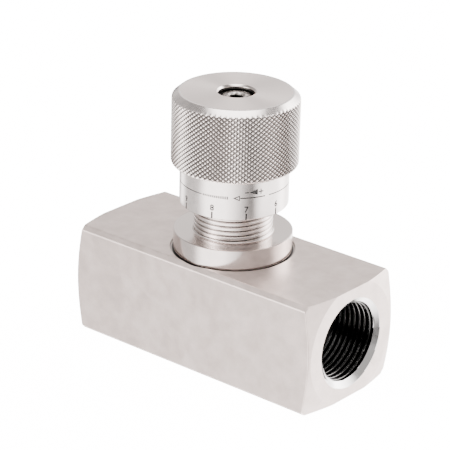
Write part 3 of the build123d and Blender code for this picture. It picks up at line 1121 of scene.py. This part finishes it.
node_materials = {
    "nose_o_ring": RUBBER, "flange_o_ring": RUBBER, "stem_o_ring": RUBBER,
    "nose_backup_ring": PTFE, "stem_backup_ring": PTFE, "wiper_ring": PTFE,
    "seat_ring": HARDENED, "check_poppet": HARDENED, "needle": HARDENED,
    "seat_snap_ring": SPRING, "knob_stop_ring": SPRING, "cap_clip": SPRING,
    "guide_bush": BRONZE, "gland_plug": TURNED, "spring_cap": TURNED, "thrust_ball": POLISHED,
}
for node_name, node_material in node_materials.items():
    node_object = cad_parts[node_name]
    node_object.data.materials.clear()
    node_object.data.materials.append(node_material)


# ---- studio ----

camera_azimuth = 39.8
camera_elevation = 22.95
camera_roll = 1.36
camera_distance = 0.688
camera_lens = 182.2
camera_target = Vector((-0.0032, 0, 0.0409))

# The studio's walls. Each ring of wall has a base brightness and a few panels, given as (centre,
# width, brightness), in degrees round the compass from straight behind the object.
low_base = 1.0
low_panels = [
    (10, 40, 0.0),              # dark card behind
    (40, 20, 5.0),              # narrow reflector behind
    (145, 70, 4.6),             # white card left of the camera
    (220, 20, 0.0),             # dark card right of the camera
    (280, 100, 4.0),            # long white card on the ported end's side
    (300, 20, 7.5),             # softbox in front of it
    (340, 20, 6.5),             # its far end
]
middle_base = 0.6
middle_panels = [
    (350, 60, 1.6),             # pale backdrop
    (120, 30, 12.5),            # softbox on the left
    (300, 42, 10.5),            # softbox on the ported end's side
]
high_base = 0.4
high_panels = [(180, 70, 2.5)]  # white card over the camera
panel_fade = 20.0               # degrees over which a panel's edge fades
wall_stops = 18
ceiling = 6.5
under_table = 9.5
floor_glow = 14.0
brightest = 20.0
light_tint = (1.0, 0.95, 0.925)


def studio_floor():
    """Plain pale floor, lit from inside like a light table, so that it stays white."""
    mesh = bpy.data.meshes.new("floor")
    size, level = 4.0, -0.05 * MM
    corners = [(-size, -size, level), (size, -size, level), (size, size, level), (-size, size, level)]
    mesh.from_pydata(corners, [], [(0, 1, 2, 3)])
    floor = add_object("floor", mesh)
    paint = Paint("floor_paper", (0.93, 0.93, 0.93), 0.9, metallic=0.0)
    paint.color(paint.ramp(paint.noise(400, 3, 0.5), [(0.3, 0.92), (0.7, 0.94)]))
    paint.surface("Emission Color", opaque(1.0))
    paint.surface("Emission Strength", floor_glow)
    mesh.materials.append(paint.material)
    floor.visible_glossy = False
    floor.visible_shadow = False


def wall_levels(base, panels):
    """Brightness round a ring of wall, at even steps from behind the object."""
    levels = []
    for i in range(wall_stops):
        level = base
        for center, width, brightness in panels:
            off_center = abs((360 * i / wall_stops - center + 180) % 360 - 180)
            share = min(max((width / 2 + panel_fade / 2 - off_center) / panel_fade, 0), 1)
            level += (brightness - level) * share
        levels.append(level)
    return levels


def tinted(level):
    return tuple(level / brightest * part for part in light_tint)


class Sky(Nodes):
    """World shader put together from rings of wall brightness."""

    def __init__(self):
        world = bpy.data.worlds.new("studio")
        bpy.context.scene.world = world
        world.use_nodes = True
        super().__init__(world.node_tree)
        coordinates = self.node("ShaderNodeTexCoord").outputs["Generated"]
        axes = self.node("ShaderNodeSeparateXYZ", {0: coordinates}).outputs
        compass = self.math("ARCTAN2", axes["Y"], axes["X"])
        inputs = {"Value": compass, "From Min": -math.pi, "From Max": math.pi}
        self.around = self.node("ShaderNodeMapRange", inputs).outputs[0]
        self.height = axes["Z"]

    def wall(self, base, panels):
        """Ring of wall with its panels; the first stop is straight behind the object."""
        stops = []
        for i, level in enumerate(wall_levels(base, panels)):
            direction = camera_azimuth - 90 - 180 + 360 * i / wall_stops
            stops.append((((direction + 180) % 360) / 360, level))
        stops.sort()
        (first, first_level), (last, last_level) = stops[0], stops[-1]
        seam = last_level + (first_level - last_level) * (1 - last) / (first + 1 - last)
        stops = [(0.0, seam), *stops, (1.0, seam)]
        return self.ramp(self.around, [(position, tinted(level)) for position, level in stops])

    def above(self, lower, upper, start, end):
        """Blend from lower to upper between two elevations in degrees."""
        return self.mix(self.fade(self.height, *np.sin(np.radians((start, end)))), lower, upper)


def studio_sky():
    """Soft surround of bright and dark stretches, as softboxes and dark cards make them."""
    sky = Sky()
    light = sky.above(opaque(tinted(under_table)), sky.wall(low_base, low_panels), -66, -54)
    light = sky.above(light, sky.wall(middle_base, middle_panels), -6, 2)
    light = sky.above(light, sky.wall(high_base, high_panels), 34, 44)
    light = sky.above(light, opaque(tinted(ceiling)), 60, 70)
    background = sky.tree.nodes["Background"]
    sky.feed(background.inputs["Color"], light)
    sky.feed(background.inputs["Strength"], brightest)


def studio_camera():
    """Long lens from the front right, slightly rolled."""
    azimuth, elevation, roll = np.radians((camera_azimuth, camera_elevation, camera_roll))
    level = math.cos(elevation)
    back = Vector((math.sin(azimuth) * level, -math.cos(azimuth) * level, math.sin(elevation)))
    right = Vector((0, 0, 1)).cross(back).normalized()
    upright = Matrix((right, back.cross(right), back)).transposed()
    turn = upright @ Matrix.Rotation(roll, 3, "Z")
    data = bpy.data.cameras.new("camera")
    data.lens = camera_lens
    data.clip_start = 0.01
    data.clip_end = 50
    camera = add_object("camera", data)
    camera.matrix_world = Matrix.Translation(camera_target + back * camera_distance) @ turn.to_4x4()
    bpy.context.scene.camera = camera


studio_floor()
studio_sky()
studio_camera()
